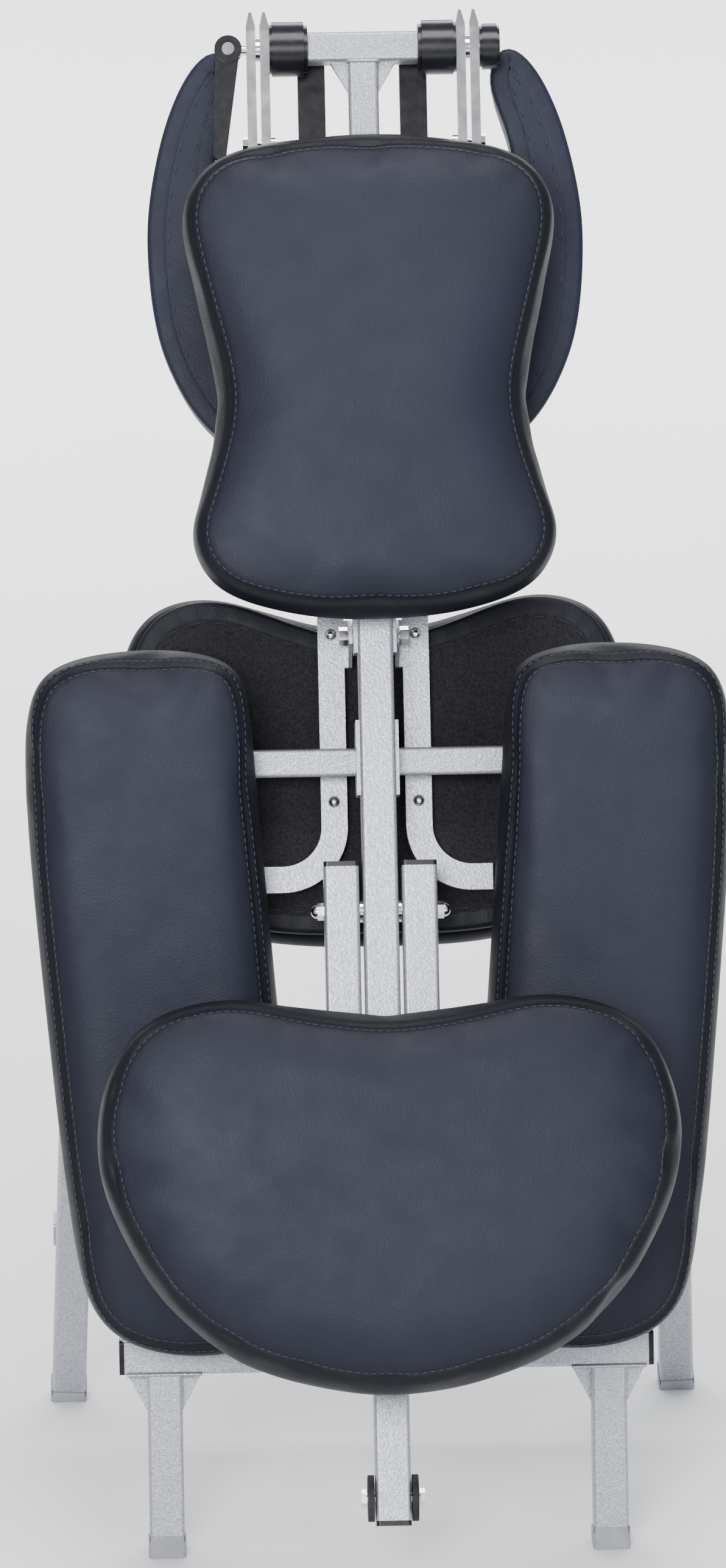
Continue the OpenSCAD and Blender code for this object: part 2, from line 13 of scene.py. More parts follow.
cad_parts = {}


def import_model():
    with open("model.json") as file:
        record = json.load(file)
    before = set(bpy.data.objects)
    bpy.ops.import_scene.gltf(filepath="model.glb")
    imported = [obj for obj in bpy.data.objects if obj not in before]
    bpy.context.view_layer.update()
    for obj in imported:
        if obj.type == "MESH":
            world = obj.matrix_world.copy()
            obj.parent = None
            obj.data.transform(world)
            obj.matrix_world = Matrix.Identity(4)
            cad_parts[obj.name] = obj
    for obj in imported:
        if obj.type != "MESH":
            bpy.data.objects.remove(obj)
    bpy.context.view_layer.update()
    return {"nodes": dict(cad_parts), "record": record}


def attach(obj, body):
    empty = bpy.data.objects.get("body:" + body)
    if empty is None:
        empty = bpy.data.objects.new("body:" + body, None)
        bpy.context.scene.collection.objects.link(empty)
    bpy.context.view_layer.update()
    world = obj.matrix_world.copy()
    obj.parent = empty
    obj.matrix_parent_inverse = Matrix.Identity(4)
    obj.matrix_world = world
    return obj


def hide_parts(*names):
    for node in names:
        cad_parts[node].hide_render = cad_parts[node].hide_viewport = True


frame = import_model()
record = frame["record"]
joints = {j["name"]: j for j in record["behaviour"]["joints"]}
mounts = {m["name"]: m for m in record["mounts"]}
mm = 0.001
rng = random.Random(7)


# ---------------------------------------------------------------- local axes of the leaning frames


class Axes:
    """x runs right, back runs away from the sitter and up runs up the frame."""

    def __init__(self, up):
        self.up = Vector(up).normalized()
        self.back = self.up.cross(Vector((1, 0, 0))).normalized()

    def place(self, x, d, s):
        return Vector((x, 0, 0)) + self.back * d + self.up * s

    def split(self, v):
        return v.x, v.dot(self.back), v.dot(self.up)


spine = Axes(joints["stem_height"]["axis"])
rear_foot = Vector(mounts["rear_foot_left"]["pos_m"])
leg_hinge = Vector(joints["front_legs_fold"]["pos_m"])
knee = Axes((0, leg_hinge.y - rear_foot.y, leg_hinge.z - rear_foot.z))
front_foot = Vector(mounts["front_foot_left"]["pos_m"])
leg = Axes((0, leg_hinge.y - front_foot.y, leg_hinge.z - front_foot.z))
tee = Vector(joints["cradle_tilt"]["pos_m"])


# ---------------------------------------------------------------- camera, lights and floor


def make_camera():
    azimuth, elevation, roll = math.radians(1.9), math.radians(16.1), math.radians(-0.5)
    distance = 7.0
    target = Vector((-0.012, 0, 0.604))
    ahead = Vector((math.sin(azimuth) * math.cos(elevation), math.cos(azimuth) * math.cos(elevation),
                    -math.sin(elevation)))
    level = Vector((math.cos(azimuth), -math.sin(azimuth), 0))
    upright = level.cross(ahead)
    right = level * math.cos(roll) + upright * math.sin(roll)
    above = upright * math.cos(roll) - level * math.sin(roll)
    data = bpy.data.cameras.new("camera")
    data.sensor_width = 36
    data.lens = 201.75
    data.clip_end = 60
    camera = bpy.data.objects.new("camera", data)
    bpy.context.scene.collection.objects.link(camera)
    turn = Matrix((right, above, -ahead)).transposed().to_4x4()
    camera.matrix_world = Matrix.Translation(target - ahead * distance) @ turn
    bpy.context.scene.camera = camera


def area_light(name, place, aim, size, power, colour):
    data = bpy.data.lights.new(name, "AREA")
    data.shape = "RECTANGLE"
    data.size, data.size_y = size
    data.energy = power
    data.color = colour
    lamp = bpy.data.objects.new(name, data)
    bpy.context.scene.collection.objects.link(lamp)
    lamp.location = place
    lamp.rotation_euler = (Vector(aim) - Vector(place)).to_track_quat("-Z", "Y").to_euler()


def make_lights():
    middle = (0, 0, 0.6)
    area_light("key", (-0.9, -3.9, 2.3), middle, (1.5, 1.5), 170, (1.0, 0.99, 0.98))
    area_light("fill", (1.6, -3.6, 1.2), middle, (1.2, 1.8), 30, (0.93, 0.96, 1.0))
    area_light("top", (0.1, -0.6, 3.2), (0, 0, 1.0), (1.2, 1.2), 60, (1.0, 1.0, 1.0))
    area_light("sweep", (0, 5.0, 3.6), (0, 5.4, 0), (9.0, 5.0), 900, (1.0, 1.0, 1.0))
    world = bpy.data.worlds.new("studio")
    world.use_nodes = True
    background = world.node_tree.nodes["Background"]
    background.inputs["Color"].default_value = (0.93, 0.95, 1.0, 1)
    background.inputs["Strength"].default_value = 0.55
    bpy.context.scene.world = world


def make_floor(finish):
    mesh = bpy.data.meshes.new("floor")
    half = 14
    mesh.from_pydata([(-half, -half, 0), (half, -half, 0), (half, half, 0), (-half, half, 0)], [], [(0, 1, 2, 3)])
    floor = bpy.data.objects.new("floor", mesh)
    bpy.context.scene.collection.objects.link(floor)
    mesh.materials.append(finish)


# ---------------------------------------------------------------- materials


class Shader:
    """A principled material with helpers for the textures that drive it. Scales are per metre."""

    def __init__(self, name):
        self.material = bpy.data.materials.new(name)
        self.material.use_nodes = True
        self.nodes = self.material.node_tree.nodes
        self.links = self.material.node_tree.links
        self.bsdf = self.nodes["Principled BSDF"]
        self.coords = self.nodes.new("ShaderNodeTexCoord").outputs["Object"]
        self.height = None

    def fixed(self, **values):
        for name, value in values.items():
            self.bsdf.inputs[name.replace("_", " ")].default_value = value
        return self

    def stretched(self, scale):
        mapping = self.nodes.new("ShaderNodeMapping")
        mapping.inputs["Scale"].default_value = scale
        self.links.new(self.coords, mapping.inputs["Vector"])
        return mapping.outputs["Vector"]

    def noise(self, scale, detail=3, coords=None):
        node = self.nodes.new("ShaderNodeTexNoise")
        node.inputs["Scale"].default_value = scale
        node.inputs["Detail"].default_value = detail
        self.links.new(coords or self.coords, node.inputs["Vector"])
        return node.outputs["Fac"]

    def cells(self, scale, feature="F1"):
        node = self.nodes.new("ShaderNodeTexVoronoi")
        node.feature = feature
        node.inputs["Scale"].default_value = scale
        self.links.new(self.coords, node.inputs["Vector"])
        return node.outputs["Distance"]

    def waves(self, scale, distortion, coords=None):
        node = self.nodes.new("ShaderNodeTexWave")
        node.inputs["Scale"].default_value = scale
        node.inputs["Distortion"].default_value = distortion
        self.links.new(coords or self.coords, node.inputs["Vector"])
        return node.outputs["Fac"]

    def ramp(self, source, low, high, start=0.0, stop=1.0):
        node = self.nodes.new("ShaderNodeMapRange")
        for name, value in (("From Min", start), ("From Max", stop), ("To Min", low), ("To Max", high)):
            node.inputs[name].default_value = value
        self.links.new(source, node.inputs["Value"])
        return node.outputs["Result"]

    def colours(self, source, first, second, start=0.3, stop=0.7):
        node = self.nodes.new("ShaderNodeValToRGB")
        node.color_ramp.elements[0].position = start
        node.color_ramp.elements[0].color = (*first, 1)
        node.color_ramp.elements[1].position = stop
        node.color_ramp.elements[1].color = (*second, 1)
        self.links.new(source, node.inputs["Fac"])
        self.links.new(node.outputs["Color"], self.bsdf.inputs["Base Color"])
        return self

    def rough(self, source, low, high):
        self.links.new(self.ramp(source, low, high, 0.25, 0.75), self.bsdf.inputs["Roughness"])
        return self

    def bump(self, source, strength, depth):
        node = self.nodes.new("ShaderNodeBump")
        node.inputs["Strength"].default_value = strength
        node.inputs["Distance"].default_value = depth
        self.links.new(source, node.inputs["Height"])
        if self.height:
            self.links.new(self.height, node.inputs["Normal"])
        self.height = node.outputs["Normal"]
        self.links.new(self.height, self.bsdf.inputs["Normal"])
        return self


def vinyl_finish():
    """Soft-grain vinyl. A point attribute, 1 on a pad's sides and 0 on its front, mixes in a near-black colour as
    painted shade.
    """
    s = Shader("navy_vinyl").fixed(Metallic=0.0, Specular_IOR_Level=0.20)
    s.colours(s.noise(9, 4), (0.0118, 0.0140, 0.0262), (0.0145, 0.0170, 0.0312))
    front = s.bsdf.inputs["Base Color"].links[0].from_socket
    painted_shade = s.nodes.new("ShaderNodeAttribute")
    painted_shade.attribute_name = "painted_shade"
    painted_shade_mix = s.nodes.new("ShaderNodeMix")
    painted_shade_mix.data_type = "RGBA"
    # Painted shade: the near-black colour that the point attribute mixes in on the pads' sides and edges.
    painted_shade_mix.inputs["B"].default_value = (0.0042, 0.0050, 0.0086, 1)
    s.links.new(painted_shade.outputs["Fac"], painted_shade_mix.inputs["Factor"])
    s.links.new(front, painted_shade_mix.inputs["A"])
    s.links.new(painted_shade_mix.outputs["Result"], s.bsdf.inputs["Base Color"])
    s.rough(s.noise(35, 3), 0.46, 0.58)
    s.bump(s.cells(620), 0.35, 0.0004)
    return s.bump(s.noise(210, 4), 0.16, 0.0006).material


def paint_finish():
    s = Shader("silver_hammered_paint").fixed(Metallic=0.62)
    s.colours(s.noise(900, 2), (0.28, 0.29, 0.325), (0.49, 0.50, 0.55), 0.36, 0.64)
    s.rough(s.noise(260, 2), 0.32, 0.47)
    s.bump(s.cells(520, "SMOOTH_F1"), 0.30, 0.0005)
    return s.bump(s.noise(1400, 2), 0.20, 0.0002).material


def chrome_finish():
    s = Shader("bright_steel").fixed(Metallic=1.0)
    s.colours(s.noise(45, 3), (0.78, 0.79, 0.81), (0.90, 0.90, 0.92))
    s.rough(s.noise(70, 4), 0.09, 0.20)
    return s.bump(s.noise(1, 2, s.stretched((1800, 1800, 90))), 0.08, 0.0001).material


def plastic_finish():
    s = Shader("black_moulding").fixed(Metallic=0.0, Specular_IOR_Level=0.30)
    s.colours(s.noise(24, 3), (0.007, 0.007, 0.010), (0.012, 0.012, 0.016))
    s.rough(s.noise(120, 3), 0.20, 0.31)
    return s.bump(s.noise(900, 2), 0.12, 0.0002).material


def rubber_finish():
    s = Shader("black_rubber_skin").fixed(Metallic=0.0, Specular_IOR_Level=0.3)
    s.colours(s.noise(80, 4), (0.016, 0.016, 0.017), (0.034, 0.034, 0.036))
    s.rough(s.noise(150, 3), 0.66, 0.86)
    return s.bump(s.noise(600, 3), 0.35, 0.0004).material


def foot_finish():
    s = Shader("grey_moulded_foot").fixed(Metallic=0.0, Specular_IOR_Level=0.4)
    s.colours(s.noise(60, 3), (0.25, 0.26, 0.29), (0.33, 0.34, 0.37))
    s.rough(s.noise(150, 3), 0.5, 0.66)
    return s.bump(s.noise(700, 3), 0.25, 0.0003).material


def board_finish():
    s = Shader("black_stained_ply").fixed(Metallic=0.0, Specular_IOR_Level=0.35)
    grain = s.stretched((260, 12, 260))
    s.colours(s.noise(1, 5, grain), (0.014, 0.013, 0.013), (0.040, 0.036, 0.034))
    s.rough(s.noise(60, 3), 0.55, 0.72)
    return s.bump(s.noise(1, 5, grain), 0.25, 0.0004).material


def dust_cloth_finish():
    s = Shader("black_dust_cloth").fixed(Metallic=0.0, Specular_IOR_Level=0.15, Sheen_Weight=0.25)
    s.colours(s.noise(500, 3), (0.008, 0.008, 0.010), (0.024, 0.024, 0.029))
    s.rough(s.noise(220, 3), 0.82, 0.96)
    s.bump(s.waves(480, 1.5), 0.30, 0.0004)
    return s.bump(s.noise(900, 3), 0.35, 0.0004).material


def thread_finish():
    s = Shader("bonded_thread").fixed(Metallic=0.0, Specular_IOR_Level=0.4)
    s.colours(s.noise(300, 2), (0.022, 0.026, 0.043), (0.036, 0.041, 0.064))
    s.rough(s.noise(400, 2), 0.45, 0.6)
    return s.bump(s.waves(1500, 0.4), 0.4, 0.0002).material


def floor_finish():
    s = Shader("pale_floor").fixed(Metallic=0.0, Specular_IOR_Level=0.2)
    s.colours(s.noise(1.2, 3), (0.86, 0.87, 0.88), (0.90, 0.905, 0.91))
    s.rough(s.noise(3, 3), 0.55, 0.65)
    return s.bump(s.noise(40, 3), 0.05, 0.001).material


vinyl = vinyl_finish()
paint = paint_finish()
chrome = chrome_finish()
plastic = plastic_finish()
rubber = rubber_finish()
board = board_finish()
dust_cloth = dust_cloth_finish()
thread = thread_finish()
foot = foot_finish()

FINISH_OF_SLOT = {"frame_paint": paint, "bright_steel": chrome, "vinyl": vinyl, "black_plastic": plastic,
                  "black_rubber": rubber, "grey_rubber": foot, "board": board}


def finish_cad_nodes():
    """Every CAD node that stays in sight takes the finish of its slot."""
    slots = {part["node"]: part["material_slot"] for part in record["subparts"]}
    for name, node in frame["nodes"].items():
        node.data.materials.clear()
        node.data.materials.append(FINISH_OF_SLOT[slots[name]])


# ---------------------------------------------------------------- outlines


def rounded_key(x, s):
    return round(x, 5), round(s, 5)


def node_outline(name, axes):
    """The closed outline of an extruded CAD node as points (x, s), and its lowest and highest d."""
    mesh = frame["nodes"][name].data
    split = [axes.split(v.co) for v in mesh.vertices]
    low = min(p[1] for p in split)
    high = max(p[1] for p in split)
    mesh.calc_loop_triangles()
    on_face = [abs(p[1] - low) < 0.02 * mm + 1e-5 for p in split]
    seen = {}
    for triangle in mesh.loop_triangles:
        if all(on_face[i] for i in triangle.vertices):
            keys = [rounded_key(split[i][0], split[i][2]) for i in triangle.vertices]
            for a, b in zip(keys, keys[1:] + keys[:1]):
                seen[frozenset((a, b))] = seen.get(frozenset((a, b)), 0) + 1
    border = [tuple(e) for e, count in seen.items() if count == 1 and len(e) == 2]
    near = {}
    for a, b in border:
        near.setdefault(a, []).append(b)
        near.setdefault(b, []).append(a)
    loops = []
    while near:
        start = min(near)
        loop = [start]
        while True:
            ahead = [p for p in near.get(loop[-1], []) if len(loop) < 2 or p != loop[-2]]
            ahead = [p for p in ahead if p == start or p not in loop[-3:]]
            if not ahead or ahead[0] == start:
                break
            loop.append(ahead[0])
        for p in loop:
            near.pop(p, None)
        loops.append(np.array(loop))
    return max(loops, key=loop_area_size), low, high


def signed_area(loop):
    x, y = loop[:, 0], loop[:, 1]
    return 0.5 * float(np.sum(x * np.roll(y, -1) - np.roll(x, -1) * y))


def loop_area_size(loop):
    return abs(signed_area(loop))


def resampled(loop, step):
    """The loop with points a fixed distance apart, anticlockwise, its first point lowest."""
    if signed_area(loop) < 0:
        loop = loop[::-1]
    loop = np.roll(loop, -int(np.argmin(loop[:, 1])), axis=0)
    closed = np.vstack([loop, loop[:1]])
    along = np.concatenate([[0], np.cumsum(np.linalg.norm(np.diff(closed, axis=0), axis=1))])
    count = int(round(along[-1] / step / 2)) * 2
    at = np.linspace(0, along[-1], count, endpoint=False)
    points = np.stack([np.interp(at, along, closed[:, i]) for i in (0, 1)], axis=1)
    for _ in range(3):
        points = 0.5 * points + 0.25 * (np.roll(points, 1, axis=0) + np.roll(points, -1, axis=0))
    return points


def inward(loop):
    """Unit vectors that point into an anticlockwise loop."""
    along = np.roll(loop, -1, axis=0) - np.roll(loop, 1, axis=0)
    along /= np.linalg.norm(along, axis=1)[:, None]
    return np.stack([-along[:, 1], along[:, 0]], axis=1)


def inset(loop, by):
    """The loop moved inwards. Where it is narrow, points stop before they meet the other side."""
    moved = loop.copy()
    steps = max(1, int(abs(by) / (1.5 * mm)))
    for step in range(steps):
        trial = moved + inward(moved) * by / steps
        clear = distance_to(loop, trial) > 0.88 * abs(by) * (step + 1) / steps
        moved = np.where(clear[:, None], trial, moved)
        moved = 0.8 * moved + 0.1 * (np.roll(moved, 1, axis=0) + np.roll(moved, -1, axis=0))
    return moved


def distance_to(loop, points):
    """Shortest distance from each point to the loop."""
    a, b = loop, np.roll(loop, -1, axis=0)
    ab = b - a
    t = ((points[:, None] - a) * ab).sum(2) / (ab * ab).sum(1)
    nearest = a + np.clip(t, 0, 1)[..., None] * ab
    return np.linalg.norm(points[:, None] - nearest, axis=2).min(axis=1)


def inside(loop, points):
    x, y = points[:, 0][:, None], points[:, 1][:, None]
    ax, ay = loop[:, 0], loop[:, 1]
    bx, by = np.roll(ax, -1), np.roll(ay, -1)
    crosses = (ay > y) != (by > y)
    cut = ax + (y - ay) * (bx - ax) / np.where(by == ay, 1, by - ay)
    return (crosses & (x < cut)).sum(axis=1) % 2 == 1


def panel(loop, step):
    """Points and triangles that fill a loop. The first points are the loop's own."""
    low, high = loop.min(axis=0), loop.max(axis=0)
    rows = np.arange(low[1], high[1], step * 0.866)
    grid = [(x + (step / 2 if i % 2 else 0), y) for i, y in enumerate(rows) for x in np.arange(low[0], high[0], step)]
    grid = np.array(grid)
    grid = grid[inside(loop, grid)]
    grid = grid[distance_to(loop, grid) > step * 0.62]
    points = np.vstack([loop, grid])
    n = len(loop)
    found = delaunay_2d_cdt([Vector(p) for p in points], [(i, (i + 1) % n) for i in range(n)], [], 1, 1e-7)
    source = [orig[0] if orig else -1 for orig in found[3]]
    triangles = [tuple(source[i] for i in face) for face in found[2]]
    return points, [face for face in triangles if -1 not in face and len(set(face)) == 3]


# ---------------------------------------------------------------- pads


def add_piece(name, vertices, faces, finish, body, smooth=True):
    mesh = bpy.data.meshes.new(name)
    mesh.from_pydata([tuple(v) for v in vertices], [], faces)
    mesh.materials.append(finish)
    mesh.validate()
    if smooth:
        mesh.shade_smooth()
    piece = bpy.data.objects.new(name, mesh)
    bpy.context.scene.collection.objects.link(piece)
    if body:
        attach(piece, body)
    return piece


def face_outwards(mesh):
    import bmesh
    work = bmesh.new()
    work.from_mesh(mesh)
    bmesh.ops.recalc_face_normals(work, faces=work.faces)
    work.to_mesh(mesh)
    work.free()


def paint_shade(piece, values):
    """The share of painted shade at each point, which the vinyl finish mixes in as a near-black colour."""
    painted_shade = piece.data.attributes.new("painted_shade", "FLOAT", "POINT")
    painted_shade.data.foreach_set("value", np.asarray(values, np.float32))


# Side profile of a pad from the board to the front panel: share of its thickness, inset
SIDE_PROFILE = ((0.00, 9 * mm), (0.07, 5.0 * mm), (0.17, 2.4 * mm), (0.29, 1.0 * mm), (0.42, 0.6 * mm),
                (0.55, 1.0 * mm), (0.66, 2.2 * mm), (0.75, 4.2 * mm))
SEAM = (0.805, 7.2 * mm)
FRONT_PROFILE = ((0.845, 10.5 * mm), (0.872, 15.5 * mm), (0.890, 22 * mm))
FLAT_SHARE = 0.895


def simulate(piece, pinned, frames, pressure, cap):
    """Blows the cover up like a filled cloth bag and returns the blown points, no point moving over cap."""
    scene = bpy.context.scene
    group = piece.vertex_groups.new(name="pinned")
    group.add([int(i) for i in pinned], 1.0, "REPLACE")
    cloth = piece.modifiers.new("cloth", "CLOTH")
    settings = cloth.settings
    settings.quality = 5
    settings.mass = 0.25
    settings.tension_stiffness = settings.compression_stiffness = 32
    settings.shear_stiffness = 14
    settings.bending_stiffness = 2.5
    settings.use_pressure = True
    settings.uniform_pressure_force = pressure
    settings.vertex_group_mass = "pinned"
    settings.effector_weights.gravity = 0
    cloth.point_cache.frame_start = 1
    cloth.point_cache.frame_end = frames
    before = np.array([v.co[:] for v in piece.data.vertices])
    for number in range(1, frames + 1):
        scene.frame_set(number)
    graph = bpy.context.evaluated_depsgraph_get()
    blown = piece.evaluated_get(graph).to_mesh()
    after = np.array([v.co[:] for v in blown.vertices])
    piece.evaluated_get(graph).to_mesh_clear()
    piece.modifiers.remove(cloth)
    piece.vertex_groups.remove(group)
    scene.frame_set(1)
    move = after - before
    size = np.linalg.norm(move, axis=1)[:, None]
    move *= cap * np.tanh(size / cap) / np.maximum(size, 1e-9)
    return before + move


def eased(points, faces, held, rounds):
    """Evens out the free points among their neighbours."""
    count = len(points)
    pairs = {(a, b) for f in faces for a, b in zip(f, f[1:] + f[:1])}
    pairs |= {(b, a) for a, b in pairs}
    a, b = np.array(sorted(pairs)).T
    degree = np.bincount(a, minlength=count)[:, None]
    free = np.ones((count, 1))
    free[held] = 0
    for _ in range(rounds):
        total = np.stack([np.bincount(a, weights=points[b, i], minlength=count) for i in range(3)], axis=1)
        points = points + 0.5 * free * (total / degree - points)
    return points


def make_pad(name, node, axes, body, facing, crown, rows=(1,), step=7.5 * mm, fill=0.8, spread=1.0):
    """A boxed vinyl pad on the space of its CAD solid. facing is -1 towards the sitter, +1 away."""
    outline, low, high = node_outline(node, axes)
    loop = resampled(outline, step)
    thick = high - low
    base = high if facing < 0 else low
    count = len(loop)
    rings = []
    profile = list(SIDE_PROFILE) + [SEAM] + list(FRONT_PROFILE)
    seam_ring = len(SIDE_PROFILE)
    for share, by in profile:
        ring = inset(loop, by * spread)
        rings.append(np.column_stack([ring, np.full(count, share * thick)]))
    front_points, front_faces = panel(rings[-1][:, :2], step * 1.15)
    back_points, back_faces = panel(rings[0][:, :2], step * 2.5)
    rest = front_points[count:]
    lift = FLAT_SHARE * thick
    front = np.column_stack([rest, np.full(len(rest), lift)])
    back = np.column_stack([back_points[count:], np.zeros(len(back_points) - count)])
    flat = np.vstack(rings + [front, back])
    first_front = count * len(rings)
    first_back = first_front + len(front)
    top_ring = count * (len(rings) - 1)
    faces = []
    for r in range(len(rings) - 1):
        for i in range(count):
            j = (i + 1) % count
            faces.append((r * count + i, r * count + j, (r + 1) * count + j, (r + 1) * count + i))
    faces += [tuple(top_ring + i if i < count else first_front + i - count for i in f) for f in front_faces]
    faces += [tuple(i if i < count else first_back + i - count for i in f) for f in back_faces]

    def world(points):
        return [axes.place(p[0], base + facing * p[2], p[1]) for p in points]

    piece = add_piece(name, world(flat), faces, vinyl, None)
    face_outwards(piece.data)
    depth = distance_to(loop, flat[:, :2])
    # Painted shade: full on the sides, fading inwards from the edge of the front panel.
    painted_edge_shade = np.where(flat[:, 2] < 0.82 * thick, 1.0, 0.9 * np.exp(-np.maximum(depth - 8 * mm, 0) / (11 * mm)))
    paint_shade(piece, painted_edge_shade)
    pinned = np.concatenate([np.arange(2 * count), np.arange(first_back, len(flat))])
    blown = simulate(piece, pinned, 20, 4.2, crown)
    held = np.concatenate([pinned, np.arange(seam_ring * count, (seam_ring + 1) * count)])
    blown = eased(blown, faces, held, 2)
    piece.data.vertices.foreach_set("co", blown.ravel())
    piece.data.update()
    sew_seam(piece, seam_ring, count)
    smoother = piece.modifiers.new("smooth", "SUBSURF")
    smoother.levels = smoother.render_levels = 1
    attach(piece, body)
    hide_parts(node)
    stitches = make_stitches(name.replace("_cover", "") + "_stitches", piece, seam_ring, count, rows)
    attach(stitches, body)
    return piece


def sew_seam(piece, ring, count):
    """Draws the seam ring in, puckers the rings beside it and creases it."""
    mesh = piece.data
    normals = [v.normal.copy() for v in mesh.vertices]
    for i in range(count):
        mesh.vertices[ring * count + i].co -= normals[ring * count + i] * (2.3 * mm)
        pucker = 0.35 * mm * math.sin(i * 2.3) + 0.25 * mm * math.sin(i * 0.71 + 1)
        for side in (-1, 1):
            mesh.vertices[(ring + side) * count + i].co += normals[(ring + side) * count + i] * (0.6 * mm + pucker)
    crease = mesh.attributes.new("crease_edge", "FLOAT", "EDGE")
    on_ring = range(ring * count, (ring + 1) * count)
    for edge in mesh.edges:
        if edge.vertices[0] in on_ring and edge.vertices[1] in on_ring:
            crease.data[edge.index].value = 0.75
    mesh.update()


def bead(length, radius):
    """A small thread bead along +X: points and faces."""
    around = 6
    shape = ((-1.0, 0.25), (-0.72, 0.8), (0.0, 1.0), (0.72, 0.8), (1.0, 0.25))
    points = [(x * length / 2, radius * w * math.cos(a * math.tau / around), radius * w * math.sin(a * math.tau / around))
              for x, w in shape for a in range(around)]
    faces = [(r * around + a, r * around + (a + 1) % around, (r + 1) * around + (a + 1) % around, (r + 1) * around + a)
             for r in range(len(shape) - 1) for a in range(around)]
    faces.append(tuple(range(around))[::-1])
    faces.append(tuple(range((len(shape) - 1) * around, len(shape) * around)))
    return np.array(points), faces


def surface_of(piece):
    graph = bpy.context.evaluated_depsgraph_get()
    graph.update()
    shown = piece.evaluated_get(graph)
    mesh = shown.to_mesh()
    tree = BVHTree.FromPolygons([v.co.copy() for v in mesh.vertices], [tuple(p.vertices) for p in mesh.polygons])
    shown.to_mesh_clear()
    return tree


def scatter(name, places, points, faces, finish):
    """One mesh with a copy of a small shape at each (origin, along, normal)."""
    vertices, polygons = [], []
    for origin, along, normal in places:
        side = normal.cross(along).normalized()
        turn = Matrix((along, side, side.cross(along) * -1)).transposed()
        start = len(vertices)
        vertices += [origin + turn @ Vector(p) for p in points]
        polygons += [tuple(start + i for i in f) for f in faces]
    return add_piece(name, vertices, polygons, finish, None)


def walk(path, step):
    """Places a fixed step apart along a closed path: (point, direction)."""
    total = 0.0
    want = step / 2
    out = []
    for a, b in zip(path, path[1:] + path[:1]):
        length = (b - a).length
        while total + length > want:
            out.append((a.lerp(b, (want - total) / length), (b - a).normalized()))
            want += step
        total += length
    return out


def make_stitches(name, piece, seam_ring, count, rows):
    tree = surface_of(piece)
    points, faces = bead(4.4 * mm, 0.55 * mm)
    places = []
    for row in rows:
        ring = [piece.data.vertices[(seam_ring + row) * count + i].co.copy() for i in range(count)]
        for place, along in walk(ring, 6.4 * mm):
            hit, normal, _, _ = tree.find_nearest(place)
            along = (along - normal * along.dot(normal)).normalized()
            places.append((hit + normal * 0.15 * mm, along, normal))
    return scatter(name, places, points, faces, thread)


# ---------------------------------------------------------------- wrapped board backs


def make_board_back(name, node, axes, body, facing, back_finish, outline_of=None):
    """The cover's edge wrapped round a board, the cloth stapled over its back, and the staples."""
    outline, low, high = node_outline(node, axes)
    if outline_of:
        outline = node_outline(outline_of, axes)[0]
    loop = resampled(outline, 6 * mm)
    count = len(loop)
    thick = high - low
    pad_side, back_side = (low, high) if facing < 0 else (high, low)
    out = -facing
    wrap = ((0.0, -1.3 * mm), (0.5 * thick, -1.5 * mm), (thick - 1 * mm, -1.3 * mm), (thick + 0.8 * mm, -0.2 * mm),
            (thick + 1.3 * mm, 3 * mm), (thick + 1.2 * mm, 10 * mm), (thick + 1.2 * mm, 17 * mm), (thick + 0.1 * mm, 18 * mm))
    points, faces = [], []
    for r, (deep, by) in enumerate(wrap):
        ring = inset(loop, by)
        for i in range(count):
            pleat = 0.45 * mm * math.sin(i * 1.9) * (0.4 < r / len(wrap) < 0.95)
            points.append(axes.place(ring[i][0], pad_side + out * (deep + pleat), ring[i][1]))
    for r in range(len(wrap) - 1):
        for i in range(count):
            j = (i + 1) % count
            faces.append((r * count + i, r * count + j, (r + 1) * count + j, (r + 1) * count + i))
    rim = add_piece(name + "_wrap", points, faces, vinyl, body)
    face_outwards(rim.data)
    # Painted shade on the wrapped vinyl rim wherever the board's back is cloth.
    if back_finish != vinyl:
        paint_shade(rim, np.full(len(points), 0.8))
    cloth_loop = inset(loop, 13 * mm)
    flat, triangles = panel(cloth_loop, 11 * mm)
    edge = distance_to(cloth_loop, flat)
    cloth_points = []
    for p, e in zip(flat, edge):
        ripple = 0.5 * mm * math.sin(p[0] * 95 + 3 * math.sin(p[1] * 40)) * math.sin(p[1] * 70 + p[0] * 30)
        lift = 1.7 * mm + ripple * min(1.0, e / (25 * mm))
        cloth_points.append(axes.place(p[0], back_side + out * lift, p[1]))
    cover = add_piece(name + "_back_cloth", cloth_points, triangles, back_finish, body)
    span, wire = 8 * mm, 0.7 * mm
    box = [(x * span / 2, y * wire / 2, z) for x in (-1, 1) for y in (-1, 1) for z in (0, wire)]
    box_faces = [(0, 1, 3, 2), (4, 6, 7, 5), (0, 4, 5, 1), (2, 3, 7, 6), (0, 2, 6, 4), (1, 5, 7, 3)]
    route = [axes.place(p[0], back_side + out * 1.8 * mm, p[1]) for p in inset(loop, 15.5 * mm)]
    normal = axes.back * out
    places = [(p, along, normal) for p, along in walk(route, 19 * mm)]
    staples = scatter(name + "_staples", places, box, box_faces, thread)
    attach(staples, body)


# ---------------------------------------------------------------- weld beads


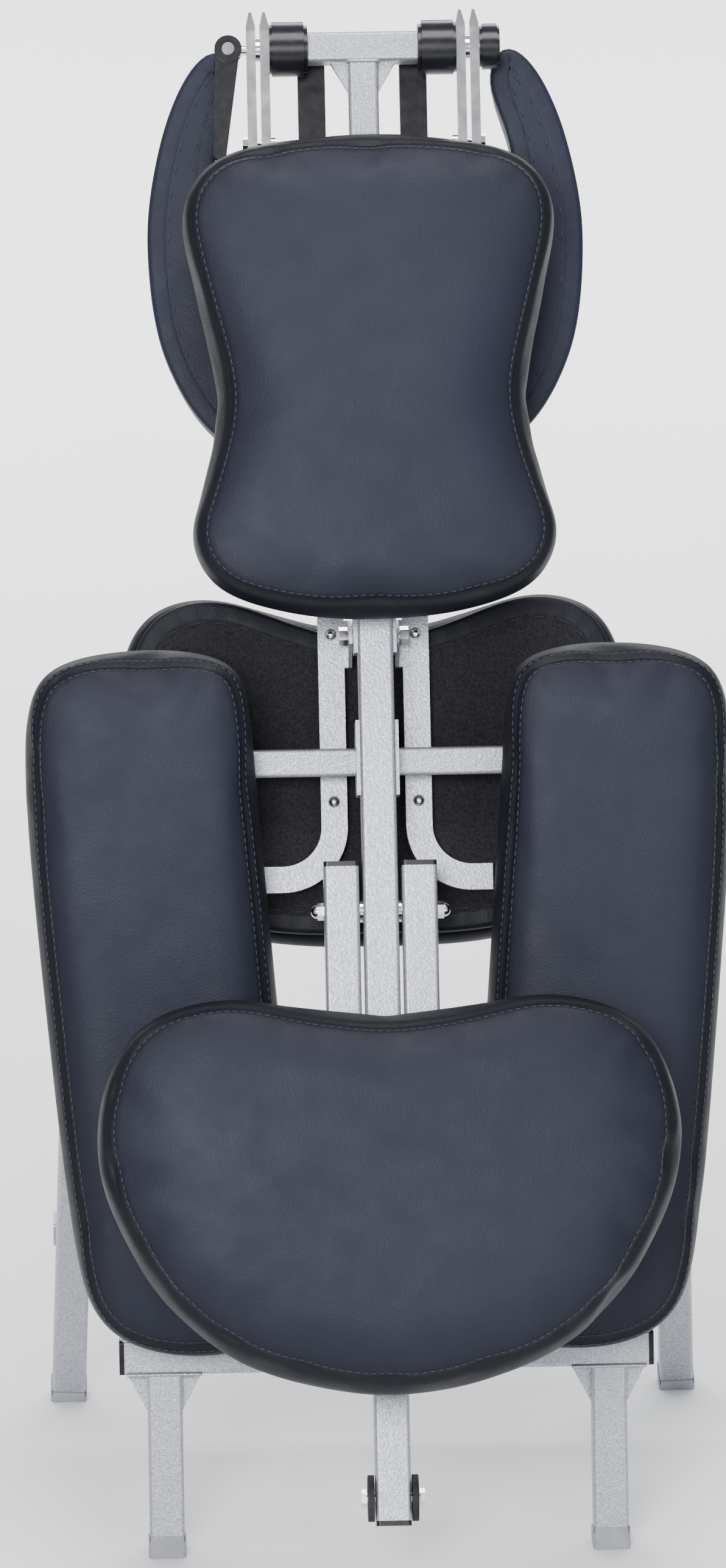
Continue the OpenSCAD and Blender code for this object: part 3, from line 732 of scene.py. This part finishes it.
def weld_bead(route, radius, seed):
    """A rippled bead along a closed or open route of points. Points and faces."""
    random_part = random.Random(seed)
    around = 7
    points, faces = [], []
    for i, place in enumerate(route):
        ahead = (route[min(i + 1, len(route) - 1)] - route[max(i - 1, 0)]).normalized()
        side = ahead.orthogonal().normalized()
        third = ahead.cross(side)
        thick = radius * (1 + 0.16 * math.sin(i * 2.1) + 0.08 * random_part.uniform(-1, 1))
        for a in range(around):
            turn = a * math.tau / around
            points.append(place + (side * math.cos(turn) + third * math.sin(turn)) * thick)
    for r in range(len(route) - 1):
        for a in range(around):
            b = (a + 1) % around
            faces.append((r * around + a, r * around + b, (r + 1) * around + b, (r + 1) * around + a))
    faces.append(tuple(range(around))[::-1])
    faces.append(tuple(range((len(route) - 1) * around, len(route) * around)))
    return points, faces


def line(start, end, step=1.6 * mm):
    count = max(3, int((end - start).length / step))
    return [start.lerp(end, i / (count - 1)) for i in range(count)]


def make_welds(name, lines, body, radius=1.5 * mm):
    vertices, polygons = [], []
    for seed, (start, end) in enumerate(lines):
        points, faces = weld_bead(line(start, end), radius, seed)
        base = len(vertices)
        vertices += points
        polygons += [tuple(base + i for i in f) for f in faces]
    beads = add_piece(name, vertices, polygons, paint, body)


def local_box(node, axes):
    """A CAD node's lowest and highest (x, d, s) in a leaning frame."""
    split = np.array([axes.split(v.co) for v in frame["nodes"][node].data.vertices])
    return split.min(axis=0), split.max(axis=0)


def lines_round(box, axes, along, at):
    """The four edges of a box's section across one of its axes."""
    first, second = [i for i in range(3) if i != along]
    corners = []
    for a, b in ((0, 0), (1, 0), (1, 1), (0, 1)):
        place = [at, at, at]
        place[first] = box[a][first]
        place[second] = box[b][second]
        corners.append(axes.place(*place))
    return list(zip(corners, corners[1:] + corners[:1]))


def weld_frame():
    lines = []
    bar = local_box("crossbar", knee)
    for end in bar:
        lines += lines_round(bar, knee, 0, end[0])
    for side in ("left", "right"):
        rail = local_box("side_rail_" + side, knee)
        lines += lines_round(rail, knee, 2, rail[0][2])
        rear = local_box("rear_leg_" + side, knee)
        lines += lines_round(rear, knee, 2, rear[1][2])[::2]
    make_welds("frame_welds", lines, "frame")
    stem = local_box("cradle_stem", spine)
    make_welds("tee_welds", lines_round(stem, spine, 2, stem[1][2]), "stem")


# ---------------------------------------------------------------- assembly

make_camera()
make_lights()
make_floor(floor_finish())
finish_cad_nodes()

PADS = (
    # piece, CAD node, axes, body, facing, crown, stitch rows beside the seam, fill, spread of its edges
    ("chest_cover", "chest_pad", spine, "frame", -1, 9 * mm, (1,), 0.85, 1.0),
    ("seat_cover", "seat_pad", spine, "seat_arm", -1, 11 * mm, (1,), 0.8, 1.0),
    ("armrest_cover", "armrest_pad", spine, "armrest", 1, 8 * mm, (1,), 0.8, 1.0),
    ("knee_cover_left", "knee_pad_left", knee, "frame", -1, 7 * mm, (-1, 1), 0.85, 1.0),
    ("knee_cover_right", "knee_pad_right", knee, "frame", -1, 7 * mm, (-1, 1), 0.85, 1.0),
    ("face_cover", "face_cushion", spine, "cradle", 1, 7 * mm, (1,), 0.75, 0.55),
)
for piece, node, axes, body, facing, crown, rows, fill, spread in PADS:
    make_pad(piece, node, axes, body, facing, crown, rows, fill=fill, spread=spread)

BOARDS = (
    ("chest", "chest_board", spine, "frame", -1, dust_cloth, None),
    ("seat", "seat_board", spine, "seat_arm", -1, dust_cloth, None),
    ("armrest", "armrest_board", spine, "armrest", 1, dust_cloth, None),
    ("knee_left", "knee_board_left", knee, "frame", -1, dust_cloth, None),
    ("knee_right", "knee_board_right", knee, "frame", -1, dust_cloth, None),
    ("cradle", "cradle_board", spine, "cradle", 1, vinyl, "face_cushion"),
)
for name, node, axes, body, facing, back_finish, outline_of in BOARDS:
    make_board_back(name, node, axes, body, facing, back_finish, outline_of)

weld_frame()
